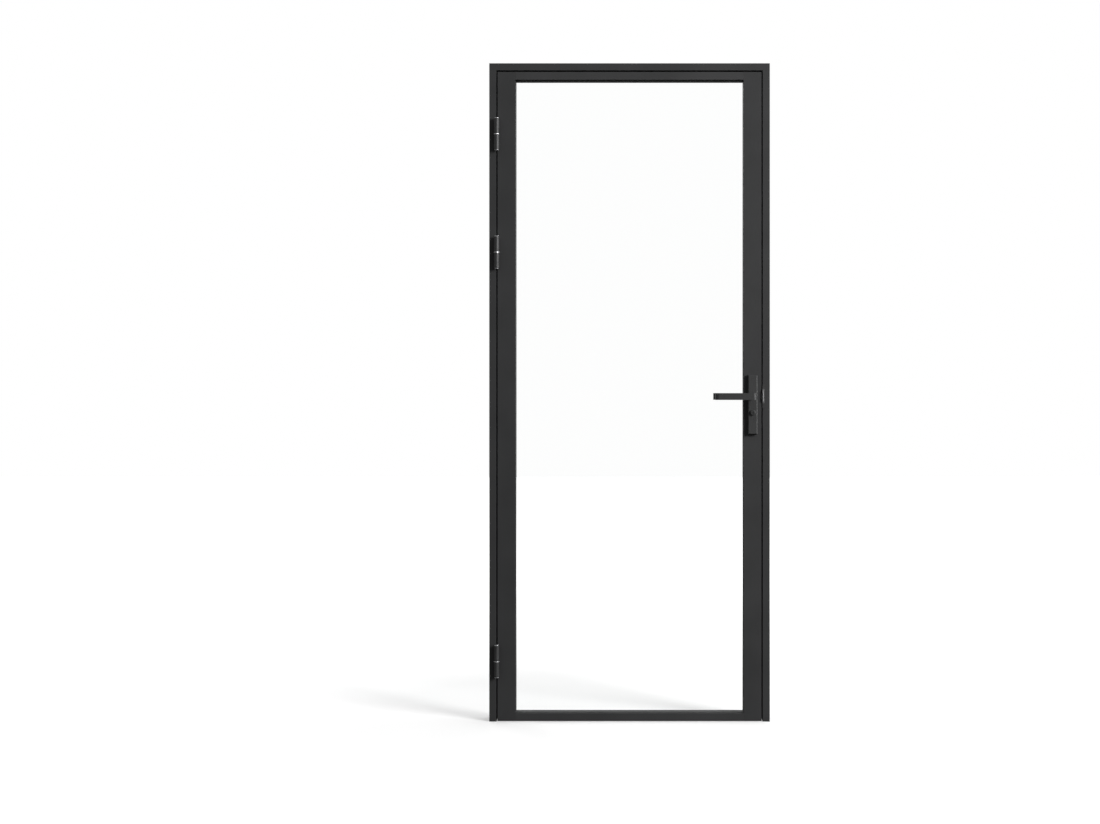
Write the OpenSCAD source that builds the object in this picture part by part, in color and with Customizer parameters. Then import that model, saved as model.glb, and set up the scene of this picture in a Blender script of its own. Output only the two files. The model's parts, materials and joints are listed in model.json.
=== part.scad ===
// Single glazed door leaf in a slim three-sided metal frame.
// +X runs along the door from the hinges to the lock, +Y goes back through it, +Z is up.
// The origin is on the floor, half-way along the door, in the middle of the leaf's thickness.

/* [Frame] */
// Overall width of the frame
frame_w = 895; // [700:1:1100]
// Overall height of the frame
frame_h = 2100; // [1750:1:2600]
// Width of the jambs and the head, seen from the front
frame_face = 22.5; // [20:0.5:40]
// Depth of the frame, front to back
frame_depth = 70; // [62:1:120]
// Wall of the frame profile
frame_wall = 2; // [1.5:0.1:3]
// How far the stop reaches behind the leaf
stop_lap = 12; // [10:1:20]
// Space between the leaf and the stop
seal_gap = 4; // [3:0.5:6]
// Diameter of the holes that fix the frame to a wall
fixing_d = 8; // [5:0.5:10]

/* [Leaf] */
// Thickness of the leaf
leaf_t = 50; // [44:1:70]
// Gap between the leaf and the jambs
edge_gap = 4; // [4:0.5:8]
// Gap between the leaf and the head
head_gap = 5; // [4:0.5:8]
// Gap between the leaf and the floor
floor_gap = 2; // [2:0.5:12]
// Width of the stiles, seen from the front
stile_face = 57; // [57:0.5:80]
// Height of the rails, seen from the front
rail_face = 25; // [24:0.5:80]
// Wall of the leaf profile
leaf_wall = 2; // [1.5:0.1:3]
// Height of the rebate that holds the glass
rebate = 12; // [10:0.5:12]
// Thickness of the fixed lip in front of the glass
lip_t = 3; // [2:0.5:4]

/* [Glass] */
// Thickness of the pane
glass_t = 8; // [6:1:12]
// Thickness of the glazing gasket on each side of the pane
gasket_t = 4; // [3:0.5:5]
// Space round the edge of the pane
pane_clear = 4; // [3:0.5:5]
// Wall of the glazing beads
bead_wall = 1.6; // [1.2:0.1:2]

/* [Hinges] */
// Height of the bottom hinge above the floor
hinge_bottom = 194; // [120:1:300]
// Middle hinge, down from the top of the frame
hinge_middle_drop = 604; // [450:1:900]
// Top hinge, down from the top of the frame
hinge_top_drop = 228; // [120:1:300]
// Length of a hinge
hinge_len = 104; // [80:1:140]
// Outside diameter of the knuckles
knuckle_d = 16; // [13:0.5:16]
// Diameter of the hinge pin
pin_d = 8; // [6:0.5:8]
// Distance of the pin in front of the leaf
pin_out = 13; // [9:0.5:14]
// Thickness of a hinge flap
flap_t = 1.8; // [1.5:0.1:1.8]
// Width of a hinge flap
flap_w = 32; // [30:1:38]

/* [Handle] */
// Height of the lever above the floor
lever_z = 1037; // [900:1:1100]
// Distance of the spindle from the edge of the leaf
backset = 29; // [25:0.5:29]
// Length of the lever from its spindle to its tip
lever_len = 120; // [100:1:150]
// Height of the lever's bar
lever_h = 21.5; // [17:0.5:26]
// Thickness of the lever's bar
lever_t = 8; // [6:0.5:12]
// Distance from the backplate to the front of the lever
lever_reach = 37; // [34:1:60]
// How far the lever's tip turns back
lever_return = 14; // [6:1:20]
// Width of the backplate
plate_w = 30; // [28:0.5:38]
// Height of the backplate
plate_h = 188.5; // [180:0.5:240]
// Thickness of the backplate
plate_t = 15; // [10:0.5:16]
// Chamfer round the backplate
plate_chamfer = 2.5; // [0.5:0.5:4]
// Side of the square spindle
spindle_w = 8; // [7:0.5:9]

/* [Lock] */
// Distance from the spindle down to the cylinder
cylinder_drop = 51; // [50:1:60]
// How far the cylinder stands out of the backplates
cylinder_proud = 8; // [3:0.5:10]
// Throw of the latch
latch_throw = 12; // [8:0.5:12]
// Throw of the deadbolt
bolt_throw = 20; // [12:0.5:20]
// Height of the latch
latch_h = 20; // [19:0.5:22]
// Height of the deadbolt
bolt_h = 16; // [12:0.5:16]
// Width of the lock's forend
forend_w = 20; // [18:0.5:24]
// Length of the lock's forend
forend_len = 180; // [170:1:220]
// Length of the strike plate
strike_len = 200; // [180:1:240]
// Length of the strike plate's front lip
strike_lip_len = 76; // [60:1:90]
// Length of the tongue on the lip, with its tapered ends
tongue_len = 50; // [36:1:60]

/* [Hidden] */
$fn = 48;

frame_colour = "#3a3b3c";
seal_colour = "#151515";
steel_colour = "#9a9ca0";
lock_colour = "#333436";
bright_colour = "#c8c9cc";
forend_colour = "#8c8d90";
glass_colour = "#202326";

// Heights of the wall fixings, from the hinges and from the lever
fixing_from_hinge = 126;
fixing_below_lever = 277;
fixing_above_lever = 213;
fixing_below_top_hinge = 172;

// Clearances
fit = 0.2; // pieces that slide together and stay there
run = 0.05; // radial clearance of everything that turns
touch = 0.3; // a seal or bolt that just clears its neighbour
eps = 1; // how far a cut runs past the face it cuts

// Leaf and frame in the row frame
jamb_x = frame_w / 2; // outer faces of the jambs
leaf_x = jamb_x - frame_face - edge_gap; // edges of the leaf
leaf_z0 = floor_gap;
leaf_z1 = frame_h - frame_face - head_gap;
leaf_y = leaf_t / 2; // front face at -leaf_y, back face at +leaf_y
frame_y0 = -leaf_y;
frame_y1 = frame_y0 + frame_depth;
stop_y = leaf_y + seal_gap;
stop_w = frame_face + edge_gap + stop_lap;

// Rebate, glass and beads
tube_w = stile_face - rebate; // width of a stile without its lip
tube_h = rail_face - rebate; // height of a rail without its lip
floor_x = leaf_x - tube_w; // bottom of the stiles' rebates
floor_z0 = leaf_z0 + tube_h;
floor_z1 = leaf_z1 - tube_h;
sight_x = leaf_x - stile_face;
sight_z0 = leaf_z0 + rail_face;
sight_z1 = leaf_z1 - rail_face;
glass_y0 = -leaf_y + lip_t + gasket_t;
glass_y1 = glass_y0 + glass_t;
bead_y0 = glass_y1 + gasket_t;
rib_t = 2.4; // rib that a bead snaps over
rib_h = 3;
gasket_w = rebate - pane_clear - 0.5; // the gasket stops half a millimetre short of the edge
gasket_in = 0.5;

// Screws: radius of the shank and of the countersunk head
screw_r = 2.1;
screw_head_r = screw_r + flap_t;
bolt_r = 2.5;
bolt_head_r = 4.8;
backing_t = 4; // tapped plates behind the thin walls

// Corner blocks inside the ends of the rails, and the screws that hold them to the stiles
block_len = 60;
corner_screw_r = 2;
corner_head_r = 3.5;
corner_screw_len = 25;
corner_screws_y = [-leaf_y / 2 + 1, leaf_y / 2];
corner_screws_z = [leaf_z0 + tube_h / 2, leaf_z1 - tube_h / 2];

// Hinges
hinge_z = [hinge_bottom, frame_h - hinge_middle_drop, frame_h - hinge_top_drop];
pin_x = -(jamb_x - frame_face - edge_gap / 2);
pin_y = -leaf_y - pin_out;
washer_t = 2;
washer_r = knuckle_d / 2 + 0.6;
knuckle_chamfer = 1;
hinge_cap_t = 1.5; // bright discs that close the outer ends of the knuckles
hinge_cap_r = knuckle_d / 2 - knuckle_chamfer;
knuckle_len = hinge_len / 2 - washer_t / 2 - hinge_cap_t;
flap_screws_y = [-leaf_y + 10, -leaf_y + 24];
flap_screws_z = [-36, 36];

// Handle and lock
spindle_x = leaf_x - backset;
cylinder_z = lever_z - cylinder_drop;
plate_z = (lever_z + cylinder_z) / 2 - 0.5; // middle of the backplates
plate_bolts_z = [plate_z - plate_h / 2 + 14, plate_z + plate_h / 2 - 14];
neck_r = 8;
bush_r = 11;
neck_in = plate_t - 2; // how deep the neck sits in its backplate
plate_face_y = leaf_y + plate_t;
lever_y = plate_face_y + lever_reach; // front face of the lever
spindle_half = leaf_y + plate_t + 22;
grub_y = plate_face_y + 10;
grub_r = 2.5;
hub_r = 8;
journal_r = 6;
euro_r = 8.5; // profile cylinder: round part, flat tail and total height
euro_tail_w = 10;
euro_h = 33;
euro_chamfer = 1.5; // round the ends of its round part
cam_r = 13.2;
cam_half = 4.8;
plug_r = 6.5;
cylinder_half = plate_face_y + cylinder_proud;
cylinder_screw_z = cylinder_z - 19;
forend_t = 3;
case_x1 = leaf_x - forend_t;
case_x0 = floor_x + leaf_wall + 0.5;
case_half = 7;
case_wall = 1.5;
case_z0 = cylinder_z - euro_h + euro_r - 12;
case_z1 = lever_z + latch_h / 2 + 28;
forend_z = (case_z0 + case_z1) / 2;
forend_screws_z = [forend_z - forend_len / 2 + 10, forend_z + forend_len / 2 - 10];
latch_half = 5;
bolt_z1 = lever_z - latch_h / 2 - 5.5; // top of the deadbolt
bolt_z0 = bolt_z1 - bolt_h;
strike_t = 1.2; // thin enough for the leaf's back corner to pass
strike_head_r = screw_r + strike_t;
strike_x = jamb_x - frame_face; // inner face of the lock jamb
strike_hole_half = latch_half + 1.5;
strike_lip_t = 2;
strike_y0 = -leaf_y - strike_lip_t;
strike_y1 = 14;
strike_screws_z = [lever_z - strike_len / 2 + 12, lever_z + strike_len / 2 - 12];
strike_screws_y = -2;
strike_lip_w = 7;
strike_lip_z = lever_z + 1; // middle of the lip and its tongue
tongue_w = 6;
tongue_out = 5; // how far the tongue's crest stands in front of the lip
tongue_taper = 12;
box_wall = 1.2;
box_z0 = bolt_z0 - 3;
box_z1 = lever_z + latch_h / 2 + 3;
box_depth = bolt_throw + 1;

// Wall fixings on both jambs: two round the lock, one above the bottom hinge, one below the top hinge
fixings_z = [
    hinge_bottom + fixing_from_hinge, lever_z - fixing_below_lever,
    lever_z + fixing_above_lever, frame_h - hinge_top_drop - fixing_below_top_hinge
];
fixings_y = 4;

// A block between two corners
module block(a, b) {
    translate(a) cube(b - a);
}

// Both sides of the door, the second one mirrored across the middle
module both_sides() {
    children();
    mirror([1, 0, 0]) children();
}

// A profile drawn with its outer edge on the left and the depth upwards, stood up
module upright(z0, z1) {
    translate([0, 0, z0]) linear_extrude(z1 - z0) children();
}

// The same profile laid along X, with its outer edge at the bottom
module lying(x0, x1) {
    translate([x0, 0, 0]) rotate([90, 0, 90]) linear_extrude(x1 - x0) mirror([1, -1, 0]) children();
}

// Countersunk screw with a hexagon socket: head at the origin, shank towards -Z
module countersunk(r, head_r, length) {
    cone = head_r - r;
    difference() {
        union() {
            translate([0, 0, -cone]) cylinder(r1 = r, r2 = head_r, h = cone);
            translate([0, 0, -length]) cylinder(r = r, h = length - cone);
        }
        translate([0, 0, -cone]) cylinder(r = 0.6 * r, h = cone + eps, $fn = 6);
    }
}

// The hole that such a screw seats in
module countersink(r, head_r, length) {
    cone = head_r - r;
    translate([0, 0, -cone]) cylinder(r1 = r, r2 = head_r, h = cone);
    translate([0, 0, -length]) cylinder(r = r + 0.1, h = length);
    cylinder(r = head_r, h = eps);
}

// Turn a piece drawn along Z so that it points along an axis
module face_plus_x() { rotate([0, 90, 0]) children(); }
module face_minus_x() { rotate([0, -90, 0]) children(); }
module face_plus_y() { rotate([-90, 0, 0]) children(); }

// ---------- frame ----------

module frame_outline(inset) {
    polygon([
        [inset, frame_y0 + inset],
        [frame_face - inset, frame_y0 + inset],
        [frame_face - inset, stop_y + inset],
        [stop_w - inset, stop_y + inset],
        [stop_w - inset, frame_y1 - inset],
        [inset, frame_y1 - inset]
    ]);
}

module frame_profile() {
    difference() {
        frame_outline(0);
        frame_outline(frame_wall);
    }
}

// Cuts an upright's top end at 45 degrees
module jamb_mitre() {
    translate([0, frame_y1 + eps, 0]) rotate([90, 0, 0]) linear_extrude(frame_depth + 2 * eps)
        polygon([[-eps, -eps], [stop_w + eps, -eps], [stop_w + eps, frame_h - stop_w - eps],
                 [-eps, frame_h + eps]]);
}

module fixing_holes() {
    for (z = fixings_z)
        translate([-eps, fixings_y, z]) face_plus_x() cylinder(d = fixing_d, h = frame_face + 2 * eps);
}

// A jamb with its outer face at x = 0
module jamb() {
    difference() {
        intersection() {
            upright(0, frame_h) frame_profile();
            jamb_mitre();
        }
        fixing_holes();
    }
}

module hinge_jamb() {
    color(frame_colour) difference() {
        translate([-jamb_x, 0, 0]) jamb();
        for (z = hinge_z) flap_screw_holes(z, -strike_x, -1);
    }
}

module lock_jamb() {
    color(frame_colour) difference() {
        translate([jamb_x, 0, 0]) mirror([1, 0, 0]) jamb();
        block([strike_x - eps, -strike_hole_half - box_wall - fit, box_z0 - box_wall - fit],
              [strike_x + frame_wall + eps, strike_hole_half + box_wall + fit, box_z1 + box_wall + fit]);
        for (z = strike_screws_z)
            translate([strike_x - eps, strike_screws_y, z]) face_plus_x()
                cylinder(r = screw_r + 0.1, h = frame_wall + 2 * eps);
    }
}

module head_member() {
    color(frame_colour) intersection() {
        translate([0, 0, frame_h]) mirror([0, 0, 1]) lying(-jamb_x, jamb_x) frame_profile();
        translate([0, frame_y1 + eps, 0]) rotate([90, 0, 0]) linear_extrude(frame_depth + 2 * eps)
            polygon([[-jamb_x - eps, frame_h + eps], [jamb_x + eps, frame_h + eps],
                     [jamb_x - stop_w - eps, frame_h - stop_w - eps],
                     [-jamb_x + stop_w + eps, frame_h - stop_w - eps]]);
    }
}

// Cast angle inside each mitred corner
module frame_cleats() {
    leg = 80;
    off = frame_wall + fit;
    thick = frame_face - 2 * off;
    color(steel_colour) both_sides() {
        block([-jamb_x + off, frame_y0 + off, frame_h - leg],
              [-jamb_x + off + thick, stop_y - off, frame_h - off]);
        block([-jamb_x + off, frame_y0 + off, frame_h - off - thick],
              [-jamb_x + leg, stop_y - off, frame_h - off]);
    }
}

// Bulb seal on the stop, drawn like the frame profile
module seal_profile() {
    base_w = 9;
    base_t = 1.2;
    bulb_r = (seal_gap - touch) / 2;
    x = stop_w - 1.5 - base_w;
    difference() {
        union() {
            translate([x, stop_y - base_t]) square([base_w, base_t]);
            translate([x + base_w / 2, stop_y - bulb_r]) circle(r = bulb_r);
        }
        translate([x + base_w / 2, stop_y - bulb_r]) circle(r = bulb_r - 0.7);
    }
}

module side_seal() {
    color(seal_colour) translate([-jamb_x, 0, 0]) upright(0, frame_h - stop_w) seal_profile();
}

module hinge_side_seal() { side_seal(); }
module lock_side_seal() { mirror([1, 0, 0]) side_seal(); }

module head_seal() {
    color(seal_colour) translate([0, 0, frame_h]) mirror([0, 0, 1])
        lying(-jamb_x + stop_w, jamb_x - stop_w) seal_profile();
}

// ---------- hinges ----------

// Screws of one flap, on a face at x that looks towards side (+1 or -1)
module flap_screw_places(z, x, side) {
    for (y = flap_screws_y, dz = flap_screws_z)
        translate([x, y, z + dz]) rotate([0, side * 90, 0]) children();
}

module flap_screw_holes(z, x, side) {
    flap_screw_places(z, x, side) translate([0, 0, -eps])
        cylinder(r = screw_r + 0.1, h = leaf_wall + 3 * eps);
}

// Half of a knuckle hinge. Side -1 is the frame's, with the lower knuckle; side 1 is the leaf's
module hinge_half(z, side) {
    flap_x = pin_x + side * edge_gap / 2;
    inner_x = flap_x - side * flap_t;
    x0 = min(flap_x, inner_x);
    x1 = max(flap_x, inner_x);
    half = hinge_len / 2;
    bore_r = side > 0 ? pin_d / 2 + run : pin_d / 2;
    color(frame_colour) translate([0, 0, z]) difference() {
        union() {
            block([x0, -leaf_y, -half], [x1, -leaf_y + flap_w, half]);
            mirror([0, 0, side > 0 ? 0 : 1]) {
                block([x0, pin_y, washer_t / 2], [x1, -leaf_y, washer_t / 2 + knuckle_len - knuckle_chamfer]);
                translate([pin_x, pin_y, washer_t / 2]) {
                    cylinder(d = knuckle_d, h = knuckle_len - knuckle_chamfer);
                    translate([0, 0, knuckle_len - knuckle_chamfer])
                        cylinder(d1 = knuckle_d, d2 = knuckle_d - 2 * knuckle_chamfer, h = knuckle_chamfer);
                }
            }
        }
        mirror([0, 0, side > 0 ? 0 : 1]) translate([pin_x, pin_y, 0])
            cylinder(r = bore_r, h = half);
        flap_screw_places(0, inner_x, -side) countersink(screw_r, screw_head_r, flap_t + eps);
    }
}

module bottom_hinge_frame_half() { hinge_half(hinge_z[0], -1); }
module middle_hinge_frame_half() { hinge_half(hinge_z[1], -1); }
module top_hinge_frame_half() { hinge_half(hinge_z[2], -1); }
module bottom_hinge_leaf_half() { hinge_half(hinge_z[0], 1); }
module middle_hinge_leaf_half() { hinge_half(hinge_z[1], 1); }
module top_hinge_leaf_half() { hinge_half(hinge_z[2], 1); }

// Bright disc with a chamfered outer edge, its face on the knuckle at z = 0
module knuckle_cap() {
    cylinder(r = hinge_cap_r, h = hinge_cap_t - 0.5);
    translate([0, 0, hinge_cap_t - 0.5]) cylinder(r1 = hinge_cap_r, r2 = hinge_cap_r - 0.5, h = 0.5);
}

// Each pin is headed: its head closes the lower knuckle
module hinge_pins() {
    below = washer_t / 2 + knuckle_len;
    above = hinge_len / 2 - 10;
    color(bright_colour) for (z = hinge_z)
        translate([pin_x, pin_y, z - below]) {
            mirror([0, 0, 1]) knuckle_cap();
            cylinder(d = pin_d, h = below + above);
            translate([0, 0, below + above]) cylinder(d1 = pin_d, d2 = pin_d - 3, h = 1.5);
        }
}

// Caps with a spigot pressed into the upper knuckles
module hinge_caps() {
    color(bright_colour) for (z = hinge_z)
        translate([pin_x, pin_y, z + washer_t / 2 + knuckle_len]) {
            knuckle_cap();
            translate([0, 0, -4]) cylinder(r = pin_d / 2 + run, h = 4);
        }
}

module hinge_washers() {
    color(bright_colour) for (z = hinge_z) translate([pin_x, pin_y, z - washer_t / 2])
        difference() {
            cylinder(r = washer_r, h = washer_t);
            translate([0, 0, -eps]) cylinder(r = pin_d / 2 + run, h = washer_t + 2 * eps);
        }
}

// Tapped plates inside the profiles, behind each flap
module hinge_backings(side, wall) {
    x = pin_x + side * (edge_gap / 2 + wall);
    color(steel_colour) for (z = hinge_z) difference() {
        block([min(x, x + side * backing_t), -leaf_y + wall + fit, z - hinge_len / 2 + 4],
              [max(x, x + side * backing_t), -leaf_y + flap_w, z + hinge_len / 2 - 4]);
        for (y = flap_screws_y, dz = flap_screws_z)
            translate([x - side * eps, y, z + dz]) rotate([0, side * 90, 0])
                cylinder(r = screw_r, h = backing_t + 2 * eps);
    }
}

module frame_hinge_backings() { hinge_backings(-1, frame_wall); }
module leaf_hinge_backings() { hinge_backings(1, leaf_wall); }

module hinge_screws(side, wall) {
    length = flap_t + wall + backing_t;
    color(steel_colour) for (z = hinge_z)
        flap_screw_places(z, pin_x + side * (edge_gap / 2 - flap_t), -side)
            countersunk(screw_r, screw_head_r, length);
}

module frame_hinge_screws() { hinge_screws(-1, frame_wall); }
module leaf_hinge_screws() { hinge_screws(1, leaf_wall); }

// ---------- strike ----------

module strike_screw_places() {
    for (z = strike_screws_z) translate([strike_x - strike_t, strike_screws_y, z]) face_minus_x() children();
}

// Ridge on the lip that pushes the latch in: a crest beside the gap, a slope away from it, tapered ends
module strike_tongue() {
    x = strike_x - strike_t;
    crest_r = 1;
    foot_r = 1.5;
    half = tongue_len / 2;
    intersection() {
        translate([x, strike_y0, strike_lip_z - half]) linear_extrude(tongue_len) hull() {
            square([tongue_w, strike_lip_t]);
            translate([crest_r, crest_r - tongue_out]) circle(r = crest_r);
            translate([tongue_w - foot_r, 0.5]) circle(r = foot_r);
        }
        translate([x, strike_y0, strike_lip_z]) rotate([90, 0, 90]) linear_extrude(tongue_w)
            polygon([[strike_lip_t, half], [0, half], [-tongue_out, half - tongue_taper],
                     [-tongue_out, tongue_taper - half], [0, -half], [strike_lip_t, -half]]);
    }
}

module strike_plate() {
    color(lock_colour) difference() {
        union() {
            block([strike_x - strike_t, -leaf_y + 3, lever_z - strike_len / 2],
                  [strike_x, strike_y1, lever_z + strike_len / 2]);
            block([strike_x - strike_t, strike_y0, strike_lip_z - strike_lip_len / 2],
                  [strike_x, -leaf_y + 3 + eps, strike_lip_z + strike_lip_len / 2]);
            block([strike_x - strike_t, strike_y0, strike_lip_z - strike_lip_len / 2],
                  [strike_x - strike_t + strike_lip_w, -leaf_y, strike_lip_z + strike_lip_len / 2]);
            strike_tongue();
        }
        block([strike_x - strike_t - eps, -strike_hole_half, lever_z - latch_h / 2 - 1],
              [strike_x + eps, strike_hole_half, lever_z + latch_h / 2 + 1]);
        block([strike_x - strike_t - eps, -strike_hole_half, bolt_z0 - 1],
              [strike_x + eps, strike_hole_half, bolt_z1 + 1]);
        strike_screw_places() countersink(screw_r, strike_head_r, strike_t + eps);
    }
}

module strike_box() {
    y = strike_hole_half;
    color(seal_colour) difference() {
        block([strike_x, -y - box_wall, box_z0 - box_wall],
              [strike_x + box_depth - edge_gap + box_wall, y + box_wall, box_z1 + box_wall]);
        block([strike_x - eps, -y, box_z0], [strike_x + box_depth - edge_gap, y, box_z1]);
    }
}

module strike_backings() {
    x = strike_x + frame_wall;
    color(steel_colour) for (z = strike_screws_z) difference() {
        block([x, strike_screws_y - 12, z - 10], [x + backing_t, strike_screws_y + 12, z + 10]);
        translate([x - eps, strike_screws_y, z]) face_plus_x()
            cylinder(r = screw_r, h = backing_t + 2 * eps);
    }
}

module strike_screws() {
    color(steel_colour) strike_screw_places()
        countersunk(screw_r, strike_head_r, strike_t + frame_wall + backing_t);
}

// ---------- leaf ----------

// Tube with the fixed glazing lip on its front edge
module leaf_profile(face) {
    difference() {
        union() {
            translate([0, -leaf_y]) square([face - rebate, leaf_t]);
            translate([0, -leaf_y]) square([face, lip_t]);
        }
        translate([leaf_wall, -leaf_y + leaf_wall])
            square([face - rebate - 2 * leaf_wall, leaf_t - 2 * leaf_wall]);
    }
}

// Rib on the floor of the rebate, which the bead snaps over
module rib_profile(face) {
    translate([face - rebate, leaf_y - bead_wall - 0.1 - rib_t]) square([rib_h, rib_t]);
}

module bead_profile(face) {
    depth = leaf_y - bead_y0;
    translate([face - rebate, bead_y0]) difference() {
        square([rebate, depth]);
        translate([-eps, bead_wall]) square([rebate - bead_wall + eps, depth - 2 * bead_wall]);
    }
}

// A stile with its outer edge on the leaf's hinge side
module stile() {
    translate([-leaf_x, 0, 0]) difference() {
        union() {
            upright(leaf_z0, leaf_z1) leaf_profile(stile_face);
            upright(sight_z0, sight_z1) rib_profile(stile_face);
        }
        for (z = corner_screws_z, y = corner_screws_y) {
            translate([-eps, y, z]) face_plus_x() cylinder(r = 4.5, h = leaf_wall + 2 * eps);
            translate([tube_w - leaf_wall - eps, y, z]) face_plus_x()
                cylinder(r = corner_screw_r + 0.1, h = leaf_wall + 2 * eps);
        }
    }
}

module hinge_stile() {
    color(frame_colour) difference() {
        stile();
        for (z = hinge_z) flap_screw_holes(z, -leaf_x, 1);
    }
}

module lock_stile() {
    color(frame_colour) difference() {
        mirror([1, 0, 0]) stile();
        // edge: recess for the forend
        forend_block(fit, leaf_x - leaf_wall - eps, leaf_x + eps);
        // faces: spindle, cylinder and backplate bolts
        at_spindle(0) cylinder(r = bush_r - 1, h = leaf_t + 2 * eps, center = true);
        at_cylinder() euro_profile_solid(fit, -leaf_y - eps, leaf_y + eps);
        for (z = plate_bolts_z) translate([spindle_x, 0, z]) face_plus_y()
            cylinder(r = bolt_r + 0.3, h = leaf_t + 2 * eps, center = true);
    }
}

// A rail with its outer edge at z = 0 and its lip cut back for the stiles' lips
module rail() {
    difference() {
        union() {
            lying(-floor_x, floor_x) leaf_profile(rail_face);
            lying(-floor_x, floor_x) rib_profile(rail_face);
        }
        both_sides() block([sight_x, -leaf_y - eps, -eps],
                           [floor_x + eps, -leaf_y + lip_t, rail_face + eps]);
    }
}

module bottom_rail() { color(frame_colour) translate([0, 0, leaf_z0]) rail(); }
module top_rail() { color(frame_colour) translate([0, 0, leaf_z1]) mirror([0, 0, 1]) rail(); }

module corner_blocks() {
    half = tube_h / 2 - leaf_wall - fit;
    color(steel_colour) both_sides() for (z = corner_screws_z) difference() {
        block([-floor_x, -leaf_y + lip_t + fit, z - half],
              [-floor_x + block_len, leaf_y - leaf_wall - fit, z + half]);
        for (y = corner_screws_y) translate([-floor_x - eps, y, z]) face_plus_x()
            cylinder(r = corner_screw_r, h = corner_screw_len + 5);
    }
}

module corner_screws() {
    head_h = 2.6;
    color(steel_colour) both_sides() for (z = corner_screws_z, y = corner_screws_y)
        translate([-floor_x - leaf_wall, y, z]) face_plus_x() difference() {
            union() {
                cylinder(r = corner_screw_r, h = corner_screw_len);
                translate([0, 0, -head_h]) cylinder(r = corner_head_r, h = head_h);
            }
            translate([0, 0, -head_h - eps]) cylinder(r = 1.7, h = eps + 1.8, $fn = 6);
        }
}

// Plastic plugs that close the ends of the stiles
module stile_caps() {
    depth = tube_h / 2 - corner_head_r - 0.4; // clear of the corner screws' heads
    off = leaf_wall + fit;
    color(seal_colour) both_sides() for (z = [leaf_z0, leaf_z1 - depth])
        block([-leaf_x + off, -leaf_y + off, z], [-floor_x - off, leaf_y - off, z + depth]);
}

// ---------- glazing ----------

module glass_pane() {
    x = floor_x - pane_clear;
    color([0.85, 0.93, 0.92, 0.3])
        block([-x, glass_y0, floor_z0 + pane_clear], [x, glass_y1, floor_z1 - pane_clear]);
}

// Four strips round the pane between two depths
module gasket_strips(y0, y1) {
    x1 = sight_x + gasket_in;
    x2 = x1 + gasket_w;
    z1 = sight_z0 - gasket_in;
    z2 = z1 - gasket_w;
    z3 = sight_z1 + gasket_in;
    z4 = z3 + gasket_w;
    color(seal_colour) {
        both_sides() block([-x2, y0, z1], [-x1, y1, z3]);
        block([-x2, y0, z2], [x2, y1, z1]);
        block([-x2, y0, z3], [x2, y1, z4]);
    }
}

module front_gaskets() { gasket_strips(-leaf_y + lip_t, glass_y0); }
module back_gaskets() { gasket_strips(glass_y1, bead_y0); }

// Packers under the pane and beside it
module glazing_blocks() {
    length = 80;
    side_z = [leaf_z0 + 300, leaf_z1 - 300];
    color(glass_colour) {
        both_sides() {
            block([-floor_x / 2 - length / 2, glass_y0, floor_z0],
                  [-floor_x / 2 + length / 2, glass_y1, floor_z0 + pane_clear]);
            for (z = side_z) block([-floor_x, glass_y0, z - length / 2],
                                   [-floor_x + pane_clear, glass_y1, z + length / 2]);
        }
    }
}

module bottom_bead() {
    color(frame_colour) translate([0, 0, leaf_z0]) lying(-floor_x, floor_x) bead_profile(rail_face);
}

module top_bead() {
    color(frame_colour) translate([0, 0, leaf_z1]) mirror([0, 0, 1])
        lying(-floor_x, floor_x) bead_profile(rail_face);
}

module side_bead() {
    color(frame_colour) translate([-leaf_x, 0, 0]) upright(sight_z0, sight_z1) bead_profile(stile_face);
}

module hinge_side_bead() { side_bead(); }
module lock_side_bead() { mirror([1, 0, 0]) side_bead(); }

// ---------- lock ----------

module at_spindle(y) { translate([spindle_x, y, lever_z]) face_plus_y() children(); }
module at_cylinder() { translate([spindle_x, 0, cylinder_z]) children(); }

// Profile cylinder's outline, grown by a clearance, between two depths
module euro_profile_solid(grow, y0, y1) {
    translate([0, y1, 0]) rotate([90, 0, 0]) linear_extrude(y1 - y0) {
        circle(r = euro_r + grow);
        translate([-euro_tail_w / 2 - grow, -euro_h + euro_r - grow])
            square([euro_tail_w + 2 * grow, euro_h - euro_r + grow]);
    }
}

module forend_block(grow, x0, x1) {
    block([x0, -forend_w / 2 - grow, forend_z - forend_len / 2 - grow],
          [x1, forend_w / 2 + grow, forend_z + forend_len / 2 + grow]);
}

module forend_screw_places() {
    for (z = forend_screws_z) translate([leaf_x, 0, z]) face_plus_x() children();
}

module cylinder_screw_place() {
    translate([leaf_x, 0, cylinder_screw_z]) face_plus_x() children();
}

module forend() {
    color(steel_colour) difference() {
        forend_block(0, leaf_x - forend_t, leaf_x);
        block([case_x1 - eps, -latch_half - fit, lever_z - latch_h / 2 - fit],
              [leaf_x + eps, latch_half + fit, lever_z + latch_h / 2 + fit]);
        block([case_x1 - eps, -latch_half - fit, bolt_z0 - fit],
              [leaf_x + eps, latch_half + fit, bolt_z1 + fit]);
        forend_screw_places() countersink(screw_r, screw_head_r, forend_t + eps);
        cylinder_screw_place() countersink(bolt_r, bolt_head_r, forend_t + eps);
    }
}

// Tapped plate inside the stile, with a pocket that the forend lies in
module forend_backing() {
    x1 = leaf_x - leaf_wall;
    x0 = x1 - backing_t;
    margin = 8;
    color(steel_colour) difference() {
        block([x0, -forend_w / 2 - margin, forend_z - forend_len / 2 - margin],
              [x1, forend_w / 2 + margin, forend_z + forend_len / 2 + margin]);
        forend_block(fit, leaf_x - forend_t, leaf_x);
        block([x0 - eps, -case_half - fit, case_z0 - fit], [x1 + eps, case_half + fit, case_z1 + fit]);
        for (z = forend_screws_z) translate([x0 - eps, 0, z]) face_plus_x()
            cylinder(r = screw_r, h = backing_t + 2 * eps);
    }
}

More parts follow.
